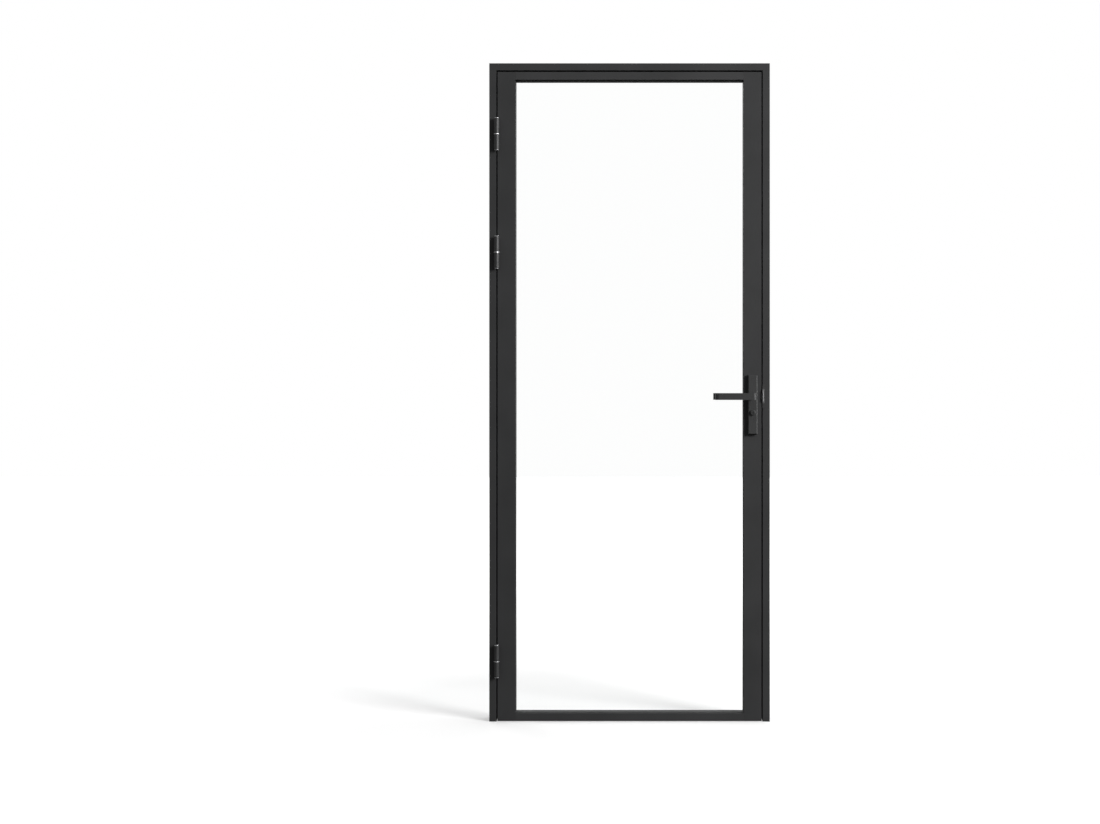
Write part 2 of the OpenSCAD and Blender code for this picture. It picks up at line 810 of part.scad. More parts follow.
module forend_screws() {
    color(steel_colour) forend_screw_places() countersunk(screw_r, screw_head_r, leaf_wall + backing_t);
}

// Openings of the lock case for the follower and the cylinder
module case_openings(y0, y1) {
    translate([spindle_x, y0, lever_z]) face_plus_y() cylinder(r = journal_r + run, h = y1 - y0);
    at_cylinder() euro_profile_solid(fit, y0, y1);
}

module lock_case() {
    color(steel_colour) difference() {
        block([case_x0, -case_half + case_wall, case_z0], [case_x1, case_half, case_z1]);
        block([case_x0 + case_wall, -case_half, case_z0 + case_wall],
              [case_x1 + eps, case_half - case_wall, case_z1 - case_wall]);
        case_openings(-case_half - eps, case_half + eps);
        // slot in the back wall for the sweep of the cam
        block([case_x0 - eps, -cam_half - 0.5, cylinder_z - cam_r / 2 - eps],
              [case_x0 + case_wall + eps, cam_half + 0.5, cylinder_z + cam_r / 2 + eps]);
    }
}

module case_cover() {
    color(steel_colour) difference() {
        block([case_x0, -case_half, case_z0], [case_x1, -case_half + case_wall, case_z1]);
        case_openings(-case_half - eps, case_half + eps);
    }
}

// Profile cylinder: flush with the backplates, its round part standing out of them
module cylinder_body() {
    color(lock_colour) difference() {
        at_cylinder() {
            euro_profile_solid(0, -plate_face_y, plate_face_y);
            for (side = [-1, 1]) scale([1, side, 1]) face_plus_y() {
                cylinder(r = euro_r, h = cylinder_half - euro_chamfer);
                translate([0, 0, cylinder_half - euro_chamfer])
                    cylinder(r1 = euro_r, r2 = euro_r - euro_chamfer, h = euro_chamfer);
            }
        }
        // the slot that the cam turns in, and the bores of the plug and the thumbturn
        block([spindle_x - euro_r - eps, -cam_half - fit, cylinder_z - cam_r - 0.7],
              [spindle_x + euro_r + eps, cam_half + fit, cylinder_z + euro_r + eps]);
        at_cylinder() face_plus_y()
            cylinder(r = plug_r + run, h = 2 * cylinder_half + 2 * eps, center = true);
        translate([spindle_x - euro_r, 0, cylinder_screw_z]) face_plus_x()
            cylinder(r = bolt_r, h = 2 * euro_r);
    }
}

module cylinder_screw() {
    length = backset + 4;
    color(steel_colour) cylinder_screw_place() countersunk(bolt_r, bolt_head_r, length);
}

// Latch: bevelled on its closing side, with a fork round the follower
module latch_bolt() {
    tail_x = spindle_x + 3;
    tip_x = leaf_x + latch_throw;
    notch_x = spindle_x + hub_r + latch_throw + 1;
    half = latch_h / 2;
    slot = hub_r + 0.4;
    color(forend_colour) difference() {
        block([tail_x, -latch_half, lever_z - half], [tip_x, latch_half, lever_z + half]);
        block([tail_x - eps, -latch_half - eps, lever_z - slot],
              [notch_x, latch_half + eps, lever_z + slot]);
        translate([0, 0, lever_z - half - eps]) linear_extrude(latch_h + 2 * eps)
            polygon([[tip_x + eps, -latch_half + 1], [tip_x + eps, latch_half + eps],
                     [leaf_x + 1, latch_half + eps], [leaf_x + 1, latch_half]]);
    }
}

module deadbolt() {
    color(forend_colour) block([case_x0 + case_wall + 1, -latch_half, bolt_z0],
                           [leaf_x - 0.5, latch_half, bolt_z1]);
}

// ---------- cylinder's turning pieces ----------

module key_plug() {
    y0 = -cylinder_half - 0.4;
    slot_w = 2.2;
    slot_h = 8.5;
    color(lock_colour) difference() {
        translate([spindle_x, y0, cylinder_z]) face_plus_y() cylinder(r = plug_r, h = -cam_half - y0);
        block([spindle_x - slot_w / 2, y0 - eps, cylinder_z - slot_h / 2 - 1],
              [spindle_x + slot_w / 2, -leaf_y, cylinder_z + slot_h / 2 - 1]);
    }
}

module cylinder_cam() {
    tooth_w = 7;
    color(steel_colour) union() {
        translate([spindle_x, -cam_half, cylinder_z]) face_plus_y()
            cylinder(r = euro_r - 0.5, h = 2 * cam_half);
        intersection() {
            translate([spindle_x, -cam_half, cylinder_z]) face_plus_y() cylinder(r = cam_r, h = 2 * cam_half);
            block([spindle_x - tooth_w / 2, -cam_half, cylinder_z - cam_r - eps],
                  [spindle_x + tooth_w / 2, cam_half, cylinder_z]);
        }
    }
}

module thumbturn() {
    knob_y0 = cylinder_half + 1;
    knob_d = 26;
    knob_t = 9;
    knob_len = 20;
    color(lock_colour) {
        translate([spindle_x, cam_half, cylinder_z]) face_plus_y() cylinder(r = plug_r, h = knob_y0 - cam_half);
        translate([spindle_x, knob_y0, cylinder_z]) face_plus_y() intersection() {
            cylinder(d = knob_d, h = knob_len);
            translate([-knob_t / 2, -knob_d / 2, 0]) cube([knob_t, knob_d, knob_len]);
        }
        translate([spindle_x, knob_y0, cylinder_z]) face_plus_y() cylinder(r = euro_r - 0.5, h = 3);
    }
}

// ---------- handle ----------

// Chamfered plate with its back on y = 0 and its face at -plate_t
module plate_blank() {
    c = plate_chamfer;
    w = plate_w / 2;
    h = plate_h / 2;
    intersection() {
        translate([0, 0, -h]) linear_extrude(plate_h)
            polygon([[-w, 0], [-w, -plate_t + c], [-w + c, -plate_t],
                     [w - c, -plate_t], [w, -plate_t + c], [w, 0]]);
        translate([-w, 0, 0]) rotate([90, 0, 90]) linear_extrude(plate_w)
            polygon([[0, -h], [-plate_t + c, -h], [-plate_t, -h + c],
                     [-plate_t, h - c], [-plate_t + c, h], [0, h]]);
    }
}

// Backplate on the front of the leaf, with blind holes for its bolts
module backplate_holes() {
    translate([0, 0, lever_z]) face_plus_y() translate([0, 0, -neck_in - 2 - eps])
        cylinder(r = neck_r + run, h = plate_t + 2 * eps);
    translate([0, 0, lever_z]) face_plus_y() translate([0, 0, -neck_in])
        cylinder(r = bush_r, h = plate_t + 2 * eps);
    translate([0, 0, cylinder_z]) euro_profile_solid(fit, -plate_t - eps, eps);
}

module front_backplate() {
    color(lock_colour) translate([spindle_x, -leaf_y, 0]) difference() {
        translate([0, 0, plate_z]) plate_blank();
        backplate_holes();
        for (z = plate_bolts_z) translate([0, -plate_t + 3, z]) face_plus_y()
            cylinder(r = bolt_r, h = plate_t);
    }
}

module back_backplate() {
    color(lock_colour) translate([spindle_x, leaf_y, 0]) mirror([0, 1, 0]) difference() {
        translate([0, 0, plate_z]) plate_blank();
        backplate_holes();
        for (z = plate_bolts_z) translate([0, -plate_t, z]) rotate([90, 0, 0])
            countersink(bolt_r, bolt_head_r, plate_t + eps);
    }
}

module backplate_bolts() {
    length = leaf_t + 2 * plate_t - 4;
    color(steel_colour) for (z = plate_bolts_z)
        translate([spindle_x, plate_face_y, z]) face_plus_y() countersunk(bolt_r, bolt_head_r, length);
}

// Plastic bushes that the necks of the levers turn in
module lever_bushes() {
    color(seal_colour) for (side = [-1, 1]) scale([1, side, 1])
        at_spindle(leaf_y) difference() {
            cylinder(r = bush_r, h = neck_in);
            translate([0, 0, -eps]) cylinder(r = neck_r + run, h = neck_in + 2 * eps);
        }
}

// Rounds off one corner of a plan outline, seen from inside the corner
module corner_off(r) {
    difference() {
        translate([-eps, -eps]) square(r + eps);
        translate([r, r]) circle(r = r);
    }
}

// Plan of the lever on the back of the door: the bar, its root and its turned-back tip
module lever_plan() {
    root = 7;
    root_r = 6;
    tip_r = 1.5 * lever_t;
    difference() {
        union() {
            translate([-lever_len, lever_y - lever_t]) square([lever_len + root, lever_t]);
            translate([-lever_len, lever_y - lever_t - lever_return]) square([lever_t, lever_return + eps]);
            translate([-root, lever_y - lever_t - 9]) square([2 * root, 9 + eps]);
        }
        translate([-lever_len, lever_y]) mirror([0, 1]) corner_off(tip_r);
        translate([root, lever_y]) rotate(180) corner_off(root_r);
    }
}

// The lever on the back of the door; the front one is its mirror image
module lever() {
    neck_y0 = plate_face_y - neck_in;
    color(lock_colour) difference() {
        union() {
            translate([spindle_x, 0, lever_z - lever_h / 2]) linear_extrude(lever_h) lever_plan();
            at_spindle(neck_y0) cylinder(r = neck_r, h = lever_y - lever_t - neck_y0);
        }
        block([spindle_x - spindle_w / 2 - 0.1, neck_y0 - eps, lever_z - spindle_w / 2 - 0.1],
              [spindle_x + spindle_w / 2 + 0.1, spindle_half + 0.5, lever_z + spindle_w / 2 + 0.1]);
        translate([spindle_x, grub_y, lever_z - neck_r - eps]) cylinder(r = grub_r, h = neck_r);
    }
}

module back_lever() { lever(); }
module front_lever() { mirror([0, 1, 0]) lever(); }

module grub_screws() {
    color(steel_colour) for (y = [-grub_y, grub_y])
        translate([spindle_x, y, lever_z - neck_r + 0.5]) difference() {
            cylinder(r = grub_r, h = neck_r - 0.5 - spindle_w / 2);
            translate([0, 0, -eps]) cylinder(r = 1.3, h = eps + 1.5, $fn = 6);
        }
}

module spindle() {
    color(steel_colour) block([spindle_x - spindle_w / 2, -spindle_half, lever_z - spindle_w / 2],
                              [spindle_x + spindle_w / 2, spindle_half, lever_z + spindle_w / 2]);
}

module follower() {
    inner = case_half - case_wall - 0.2;
    color(steel_colour) difference() {
        union() {
            at_spindle(-inner) cylinder(r = hub_r, h = 2 * inner);
            at_spindle(-case_half) cylinder(r = journal_r, h = 2 * case_half);
        }
        block([spindle_x - spindle_w / 2 - 0.1, -case_half - eps, lever_z - spindle_w / 2 - 0.1],
              [spindle_x + spindle_w / 2 + 0.1, case_half + eps, lever_z + spindle_w / 2 + 0.1]);
    }
}

hinge_jamb();
lock_jamb();
head_member();
frame_cleats();
hinge_side_seal();
lock_side_seal();
head_seal();
top_hinge_frame_half();
middle_hinge_frame_half();
bottom_hinge_frame_half();
hinge_pins();
hinge_washers();
frame_hinge_backings();
frame_hinge_screws();
strike_plate();
strike_box();
strike_backings();
strike_screws();
hinge_stile();
lock_stile();
top_rail();
bottom_rail();
corner_blocks();
corner_screws();
stile_caps();
glass_pane();
front_gaskets();
back_gaskets();
glazing_blocks();
top_bead();
bottom_bead();
hinge_side_bead();
lock_side_bead();
top_hinge_leaf_half();
middle_hinge_leaf_half();
bottom_hinge_leaf_half();
hinge_caps();
leaf_hinge_backings();
leaf_hinge_screws();
lock_case();
case_cover();
forend();
forend_backing();
forend_screws();
cylinder_body();
cylinder_screw();
front_backplate();
back_backplate();
lever_bushes();
backplate_bolts();
front_lever();
back_lever();
spindle();
follower();
grub_screws();
latch_bolt();
deadbolt();
key_plug();
cylinder_cam();
thumbturn();
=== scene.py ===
# %% [markdown]
# # A glass door in slim steel profiles
# The door is a steel frame on three sides, a leaf of hollow profiles round one pane, three knuckle
# hinges, a pair of lever handles and a lock. Its sizes are settled already in a solid model, so
# this lesson is about what a solid model lacks: edges that are never quite sharp, welds that are
# ground away, and coatings that have a grain. The first step loads the solid model as a fixed
# frame. Every new piece takes its place from it.

# %% Load the solid model
import json
import math

import bmesh
import bpy
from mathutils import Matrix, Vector


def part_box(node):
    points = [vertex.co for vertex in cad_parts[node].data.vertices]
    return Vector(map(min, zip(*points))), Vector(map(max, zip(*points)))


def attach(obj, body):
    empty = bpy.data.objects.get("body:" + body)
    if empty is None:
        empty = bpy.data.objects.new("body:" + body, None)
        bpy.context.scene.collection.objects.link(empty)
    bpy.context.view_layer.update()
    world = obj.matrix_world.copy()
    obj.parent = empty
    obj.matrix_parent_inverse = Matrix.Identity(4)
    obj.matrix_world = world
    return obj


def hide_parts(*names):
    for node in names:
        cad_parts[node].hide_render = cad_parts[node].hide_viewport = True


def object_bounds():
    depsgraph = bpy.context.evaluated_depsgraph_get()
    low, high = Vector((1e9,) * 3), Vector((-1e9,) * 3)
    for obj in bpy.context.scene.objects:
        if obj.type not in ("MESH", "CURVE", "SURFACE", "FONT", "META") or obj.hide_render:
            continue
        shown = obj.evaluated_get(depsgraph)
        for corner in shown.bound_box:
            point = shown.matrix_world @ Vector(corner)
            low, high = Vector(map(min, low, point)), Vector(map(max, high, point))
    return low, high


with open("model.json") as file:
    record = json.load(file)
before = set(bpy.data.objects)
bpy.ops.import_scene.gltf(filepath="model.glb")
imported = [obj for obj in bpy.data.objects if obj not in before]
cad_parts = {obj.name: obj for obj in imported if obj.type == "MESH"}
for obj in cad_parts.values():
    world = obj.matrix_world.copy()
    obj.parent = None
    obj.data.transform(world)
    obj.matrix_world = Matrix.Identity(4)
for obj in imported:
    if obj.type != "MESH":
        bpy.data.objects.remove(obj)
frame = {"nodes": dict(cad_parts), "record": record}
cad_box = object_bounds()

MM = 0.001
nodes = frame["nodes"]
record = frame["record"]

# %% [markdown]
# ## The camera
# A door is best shown square on, so that its uprights stay upright in the picture. The camera
# stands level with the middle of the door and looks straight along +Y. To set the door off to one
# side without turning the camera, the lens is shifted, as an architect's camera does it.

# %% Set up the camera
FOCAL_LENGTH, SENSOR_WIDTH = 50, 36
CAMERA_DISTANCE = 4.8987
LENS_SHIFT = (-0.0723, -0.0178)
door_middle = (cad_box[0].z + cad_box[1].z) / 2

camera_data = bpy.data.cameras.new("camera")
camera_data.lens = FOCAL_LENGTH
camera_data.sensor_width = SENSOR_WIDTH
camera_data.shift_x, camera_data.shift_y = LENS_SHIFT
camera = bpy.data.objects.new("camera", camera_data)
camera.location = (0, -CAMERA_DISTANCE, door_middle)
camera.rotation_euler = (math.radians(90), 0, 0)
bpy.context.scene.collection.objects.link(camera)
bpy.context.scene.camera = camera
bpy.context.scene.view_settings.view_transform = "Standard"
print("camera", tuple(round(c, 3) for c in camera.location), "lens", camera_data.lens)

# %% [markdown]
# ## A helper for materials
# Each finish here is one Principled shader. What varies over a surface, such as the grain of a
# coating, comes from noise that reads Object coordinates. Those are in metres, so a noise scale of
# 1000 has grains of about a millimetre, on every piece alike. The helper starts a material and
# returns its node tree, ready for a pattern.


# %% Start a material
def start_material(name, metallic=0.0, roughness=0.5, specular=0.5):
    """A new Principled material, with its node tree and its shader."""
    material = bpy.data.materials.new(name)
    material.use_nodes = True
    tree = material.node_tree
    shader = tree.nodes["Principled BSDF"]
    shader.inputs["Metallic"].default_value = metallic
    shader.inputs["Roughness"].default_value = roughness
    shader.inputs["Specular IOR Level"].default_value = specular
    return material, tree, shader


def noise(tree, scale, detail, stretch=(1, 1, 1)):
    """Noise on Object coordinates, drawn out along an axis where stretch is under 1."""
    place = tree.nodes.new("ShaderNodeTexCoord")
    mapping = tree.nodes.new("ShaderNodeMapping")
    mapping.inputs["Scale"].default_value = stretch
    pattern = tree.nodes.new("ShaderNodeTexNoise")
    pattern.inputs["Scale"].default_value = scale
    pattern.inputs["Detail"].default_value = detail
    tree.links.new(place.outputs["Object"], mapping.inputs["Vector"])
    tree.links.new(mapping.outputs["Vector"], pattern.inputs["Vector"])
    return pattern.outputs["Fac"]


def two_tone(tree, factor, dark, light, low=0.35, high=0.65):
    """A colour that wanders between two tones."""
    ramp = tree.nodes.new("ShaderNodeValToRGB")
    ramp.color_ramp.elements[0].position = low
    ramp.color_ramp.elements[1].position = high
    ramp.color_ramp.elements[0].color = (*dark, 1)
    ramp.color_ramp.elements[1].color = (*light, 1)
    tree.links.new(factor, ramp.inputs["Fac"])
    return ramp.outputs["Color"]


def rescale(tree, factor, from_low, from_high, low=0.0, high=1.0):
    """A number that goes from low to high as the factor goes from from_low to from_high."""
    scaled = tree.nodes.new("ShaderNodeMapRange")
    limits = {"From Min": from_low, "From Max": from_high, "To Min": low, "To Max": high}
    for socket, value in limits.items():
        scaled.inputs[socket].default_value = value
    tree.links.new(factor, scaled.inputs["Value"])
    return scaled.outputs["Result"]


NOISE_LOW, NOISE_HIGH = 0.3, 0.7


def spread(tree, factor, low, high):
    """A number that wanders between low and high with a noise, which seldom leaves its middle."""
    return rescale(tree, factor, NOISE_LOW, NOISE_HIGH, low, high)


def add_bump(tree, shader, height, strength, depth):
    """Fine relief: strength is its weight, depth its height in metres."""
    bump = tree.nodes.new("ShaderNodeBump")
    bump.inputs["Strength"].default_value = strength
    bump.inputs["Distance"].default_value = depth
    tree.links.new(height, bump.inputs["Height"])
    tree.links.new(bump.outputs["Normal"], shader.inputs["Normal"])


# %% [markdown]
# ## Powder coat
# The frame and leaf are coated in charcoal powder that melts into a satin skin. Close up it has a
# fine grain, like the peel of a small orange, and from further off its depth of colour drifts a
# little. The hardware has the same colour with less grain, because it is sprayed wet. One function
# makes both, with the size and the strength of the grain as its arguments.


# %% Make the two black coatings
DRIFT_SCALE, CLOUD_SCALE = 7, 60
COAT_RELIEF = 0.2 * MM


def coating(name, dark, light, grain, relief, rough, specular):
    """A black coat: its colour drifts slowly, its gloss in clouds, its relief is grainy."""
    material, tree, shader = start_material(name, specular=specular)
    drift = noise(tree, DRIFT_SCALE, 3)
    tree.links.new(two_tone(tree, drift, dark, light), shader.inputs["Base Color"])
    clouds = noise(tree, CLOUD_SCALE, 4)
    tree.links.new(spread(tree, clouds, *rough), shader.inputs["Roughness"])
    add_bump(tree, shader, noise(tree, grain, 2), relief, COAT_RELIEF)
    return material


powder = {"grain": 1100, "relief": 0.16, "rough": (0.58, 0.66), "specular": 0.17}
sprayed = {"grain": 1800, "relief": 0.08, "rough": (0.44, 0.52), "specular": 0.24}
frame_coat = coating(
    "charcoal_powder_coat", (0.0180, 0.0182, 0.0186), (0.0215, 0.0217, 0.0222), **powder)
hardware_coat = coating(
    "satin_black_hardware", (0.0185, 0.0187, 0.0190), (0.0220, 0.0222, 0.0226), **sprayed)
print("coatings:", frame_coat.name, hardware_coat.name)

# %% [markdown]
# ## Bare metals
# Five metals are left bare. Turned steel, on the hinge washers and caps, has rings too fine to see
# singly, so a broad noise on its roughness is enough. Brushed steel has long scratches: the same
# noise, squeezed a hundredfold along the direction of brushing. Zinc plating is cloudy, blackened
# screws are dark and a little rough, and a casting is grainy.


# %% Make the bare metals
METAL_RELIEF = 0.05 * MM


def metal(name, dark, light, rough, grain, relief, stretch=(1, 1, 1)):
    """A bare metal: one noise drives its colour, its gloss and its relief together."""
    material, tree, shader = start_material(name, metallic=1.0)
    pattern = noise(tree, grain, 3, stretch)
    tree.links.new(two_tone(tree, pattern, dark, light), shader.inputs["Base Color"])
    tree.links.new(spread(tree, pattern, *rough), shader.inputs["Roughness"])
    add_bump(tree, shader, pattern, relief, METAL_RELIEF)
    return material


turned_steel = metal("turned_bright_steel", (0.44, 0.44, 0.45), (0.56, 0.56, 0.57),
                     rough=(0.40, 0.48), grain=500, relief=0.10, stretch=(1, 1, 6))
zinc_steel = metal("zinc_plated_steel", (0.40, 0.41, 0.43), (0.56, 0.57, 0.58),
                   rough=(0.32, 0.48), grain=240, relief=0.15)
black_steel = metal("blackened_screw_steel", (0.022, 0.022, 0.024), (0.050, 0.050, 0.054),
                    rough=(0.30, 0.45), grain=700, relief=0.15)
brushed_steel = metal("brushed_forend_steel", (0.38, 0.38, 0.39), (0.56, 0.56, 0.57),
                      rough=(0.26, 0.42), grain=1600, relief=0.20, stretch=(1, 1, 0.01))
cast_aluminium = metal("cast_aluminium", (0.46, 0.47, 0.48), (0.62, 0.63, 0.64),
                       rough=(0.50, 0.66), grain=900, relief=0.40)
metals = (turned_steel, zinc_steel, black_steel, brushed_steel, cast_aluminium)
print("metals:", [m.name for m in metals])

# %% [markdown]
# ## Rubber and moulded nylon
# Seals and gaskets are extruded rubber, matt, with a faint bloom. The bushes, the strike's box and
# the caps in the stiles are moulded nylon, a touch shinier, with an eroded texture from the mould.

# %% Make the rubber and the nylon
SOFT_RELIEF = 0.1 * MM

seal_rubber, tree, shader = start_material("matt_seal_rubber", specular=0.4)
bloom = noise(tree, 35, 4)
bloomed = two_tone(tree, bloom, (0.0085, 0.0085, 0.0086), (0.0135, 0.0135, 0.0137))
tree.links.new(bloomed, shader.inputs["Base Color"])
tree.links.new(spread(tree, bloom, 0.48, 0.62), shader.inputs["Roughness"])
add_bump(tree, shader, noise(tree, 1500, 1), 0.15, SOFT_RELIEF)

black_nylon, tree, shader = start_material("moulded_black_nylon", specular=0.4)
mould = noise(tree, 2200, 3)
moulded = two_tone(tree, mould, (0.015, 0.015, 0.016), (0.021, 0.021, 0.022))
tree.links.new(moulded, shader.inputs["Base Color"])
tree.links.new(spread(tree, noise(tree, 90, 2), 0.46, 0.58), shader.inputs["Roughness"])
add_bump(tree, shader, mould, 0.25, SOFT_RELIEF)
print("soft finishes:", seal_rubber.name, black_nylon.name)

# %% [markdown]
# ## Clear glass
# A pane square to the eye shows only what is behind it, and mirrors the room more and more as it
# turns away. So the material mixes a see-through shader with a mirror. True refraction would bend
# nothing here, because the two faces are parallel, and it would throw a dark shadow. The share of
# the mirror is Schlick's curve, the fifth power of how far the face turns away, with a very small
# start because the glass has an anti-glare coat. A Fresnel node would do for one surface, but at
# the pane's far face it counts the ray as leaving glass and turns wholly into a mirror at a slant,
# which can't happen where the rays run straight through. Light that crosses the pane on its way
# from a lamp loses about a fifth over its two faces, which the tint for shadow rays stands for.

# %% Make the glass
SEEN_TINT = (0.994, 0.996, 0.995, 1)
LAMP_TINT = (0.90, 0.91, 0.91, 1)
LEAST_MIRROR = 0.004
FACTOR_IN, COLOUR_A_IN, COLOUR_B_IN, COLOUR_OUT = 0, 6, 7, 2  # a Mix node's sockets

clear_glass = bpy.data.materials.new("clear_low_iron_glass")
clear_glass.use_nodes = True
tree = clear_glass.node_tree
tree.nodes.remove(tree.nodes["Principled BSDF"])
through = tree.nodes.new("ShaderNodeBsdfTransparent")
rays = tree.nodes.new("ShaderNodeLightPath")
tint = tree.nodes.new("ShaderNodeMix")
tint.data_type = "RGBA"
tint.inputs[COLOUR_A_IN].default_value = SEEN_TINT
tint.inputs[COLOUR_B_IN].default_value = LAMP_TINT
tree.links.new(rays.outputs["Is Shadow Ray"], tint.inputs[FACTOR_IN])
tree.links.new(tint.outputs[COLOUR_OUT], through.inputs["Color"])

mirror = tree.nodes.new("ShaderNodeBsdfGlossy")
mirror.inputs["Roughness"].default_value = 0.02
turned_away = tree.nodes.new("ShaderNodeLayerWeight")
turned_away.inputs["Blend"].default_value = 0.5
fifth_power = tree.nodes.new("ShaderNodeMath")
fifth_power.operation = "POWER"
fifth_power.inputs[1].default_value = 5
tree.links.new(turned_away.outputs["Facing"], fifth_power.inputs[0])
mirror_share = rescale(tree, fifth_power.outputs["Value"], 0, 1, LEAST_MIRROR, 1)

mix = tree.nodes.new("ShaderNodeMixShader")
tree.links.new(mirror_share, mix.inputs["Fac"])
tree.links.new(through.outputs["BSDF"], mix.inputs[1])
tree.links.new(mirror.outputs["BSDF"], mix.inputs[2])
tree.links.new(mix.outputs["Shader"], tree.nodes["Material Output"].inputs["Surface"])
print("glass:", clear_glass.name)

# %% [markdown]
# ## A finish for every part
# The record names a finish for each part. This table turns that name into a material and puts it on
# the part's object, so that nothing is left in a flat colour, inside the lock as well as outside.

# %% Give every solid part its finish
finish = {
    "frame_paint": frame_coat,
    "hardware_paint": hardware_coat,
    "bright_steel": turned_steel,
    "zinc_steel": zinc_steel,
    "black_steel": black_steel,
    "brushed_forend": brushed_steel,
    "cast_aluminium": cast_aluminium,
    "seal_rubber": seal_rubber,
    "black_plastic": black_nylon,
    "clear_glass": clear_glass,
}
slot_of = {part["node"]: part["material_slot"] for part in record["subparts"]}
bodies = record["behaviour"]["bodies"]
body_of = {node: body for body, members in bodies.items() for node in members}
for node, solid in nodes.items():
    for slot in solid.material_slots:
        slot.material = finish[slot_of[node]]
print("finishes on", len(nodes), "parts")

# %% [markdown]
# ## Softened edges
# A solid model's edges are perfectly sharp, and such edges catch no light. Real ones are rounded,
# by the rolling of the profile and by the thickness of the coating. So each part that shows is
# copied, and the copy's triangles are welded into whole faces, because an edge can only be bevelled
# where two faces share it. Then every edge that turns by more than 30 degrees is bevelled. The
# bevel is done in the mesh, and a Weighted Normal modifier then keeps the big faces flat while the
# narrow ones shade smoothly.


# %% Weld and soften a copy of solid parts
SAME_CORNER = 0.002 * MM
ONE_PLANE = math.radians(0.5)
SHARP_TURN = math.radians(30)
SHADING_BREAK = math.radians(50)


def welded_copy(*parts):
    """One bmesh of the parts' faces, with shared corners."""
    bm = bmesh.new()
    for part in parts:
        bm.from_mesh(nodes[part].data)
    bmesh.ops.remove_doubles(bm, verts=bm.verts, dist=SAME_CORNER)
    return bm


def flatten(bm):
    """Joins triangles that lie in one plane into one face."""
    bmesh.ops.dissolve_limit(bm, angle_limit=ONE_PLANE, verts=bm.verts, edges=bm.edges)


def round_edges(bm, radius, steps):
    """Rounds every edge at which the surface turns sharply."""
    turned = [e for e in bm.edges if len(e.link_faces) == 2 and e.calc_face_angle() > SHARP_TURN]
    bmesh.ops.bevel(bm, geom=turned, offset=radius, offset_type="OFFSET", segments=steps,
                    profile=0.5, affect="EDGES", clamp_overlap=True, material=-1)


def finish_piece(bm, name, body, slot, stands_for):
    """Makes the object, and ties it to its body, its finish and the parts that it stands for."""
    mesh = bpy.data.meshes.new(name)
    bm.to_mesh(mesh)
    bm.free()
    mesh.materials.clear()
    mesh.materials.append(finish[slot])
    mesh.shade_smooth()
    mesh.set_sharp_from_angle(angle=SHADING_BREAK)
    piece = bpy.data.objects.new(name, mesh)
    bpy.context.scene.collection.objects.link(piece)
    normals = piece.modifiers.new("flat faces stay flat", "WEIGHTED_NORMAL")
    normals.keep_sharp = True
    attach(piece, body)
    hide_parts(*stands_for)
    return piece


def soften(part, radius_mm, steps=2):
    """The usual way for one part: weld it, flatten it, round its edges."""
    bm = welded_copy(part)
    flatten(bm)
    round_edges(bm, radius_mm * MM, steps)
    return finish_piece(bm, "soft_" + part, body_of[part], slot_of[part], [part])


def soften_all(parts, radius_mm, steps=2):
    """The same for several parts."""
    return [soften(part, radius_mm, steps) for part in parts]


# %% [markdown]
# ## The welded frame
# The jambs and the head are mitred, welded and ground flush, so that no joint shows through the
# coating. The three solids are therefore joined into one mesh. Their mitre faces, which would lie
# inside the weld, are removed, and the open rims close on each other when doubled corners are
# merged. The profiles are cold drawn, so their outside edges are crisp, with a radius of less than
# half a millimetre.

# %% Weld the jambs and the head into one frame
MITRE_SLANT = math.sqrt(0.5)
MEETING_CORNERS = 0.01 * MM
FRAME_RADIUS = 0.4 * MM


def is_mitre(face):
    """True for a face at 45 degrees in the plane of the door."""
    return all(abs(abs(n) - MITRE_SLANT) < 0.01 for n in (face.normal.x, face.normal.z))


frame_members = ("hinge_jamb", "head_member", "lock_jamb")
bm = welded_copy(*frame_members)
mitres = [f for f in bm.faces if is_mitre(f)]
bmesh.ops.delete(bm, geom=mitres, context="FACES")
bmesh.ops.remove_doubles(bm, verts=bm.verts, dist=MEETING_CORNERS)
flatten(bm)
open_edges = sum(1 for e in bm.edges if len(e.link_faces) != 2)
round_edges(bm, FRAME_RADIUS, steps=2)
welded_frame = finish_piece(bm, "welded_frame", "frame", "frame_paint", frame_members)
print("welded frame:", len(mitres), "mitre faces removed,", open_edges, "open edges,",
      len(welded_frame.data.polygons), "faces")

# %% [markdown]
# ## The leaf's profiles
# The rails stop against the stiles with a butt joint. Each profile keeps its own softened edges, so
# the joint shows as the fine groove that a real one has. The rails get a copy of the coat a touch
# lighter than the stiles'. The glazing beads at the back are clipped in, and are softened the same
# way.

# %% Soften the stiles, rails and beads
PROFILE_RADIUS = 0.35

rail_coat = coating(
    "charcoal_rail_coat", (0.0208, 0.0210, 0.0215), (0.0247, 0.0249, 0.0255), **powder)
stiles = soften_all(("hinge_stile", "lock_stile"), PROFILE_RADIUS)
rails = soften_all(("top_rail", "bottom_rail"), PROFILE_RADIUS)
for rail in rails:
    rail.material_slots[0].material = rail_coat
bead_parts = ("top_bead", "bottom_bead", "hinge_side_bead", "lock_side_bead")
beads = soften_all(bead_parts, PROFILE_RADIUS)
print("profiles and beads:", [p.name for p in stiles + rails + beads])

# %% [markdown]
# ## Glass, gaskets and seals
# The pane's edges are ground and have a narrow flat arris, so its bevel is one step wide. Gaskets
# and bulb seals are rubber: their corners are soft, and the round bulbs only need smooth shading.

# %% Finish the pane, the gaskets and the seals
ARRIS = 1.0
RUBBER_RADIUS = 0.35

pane = soften("glass_pane", ARRIS, steps=1)
gaskets = soften_all(("front_gaskets", "back_gaskets"), RUBBER_RADIUS)
seals = soften_all(("hinge_side_seal", "lock_side_seal", "head_seal"), RUBBER_RADIUS)
print("pane and rubber:", pane.name, [r.name for r in gaskets + seals])

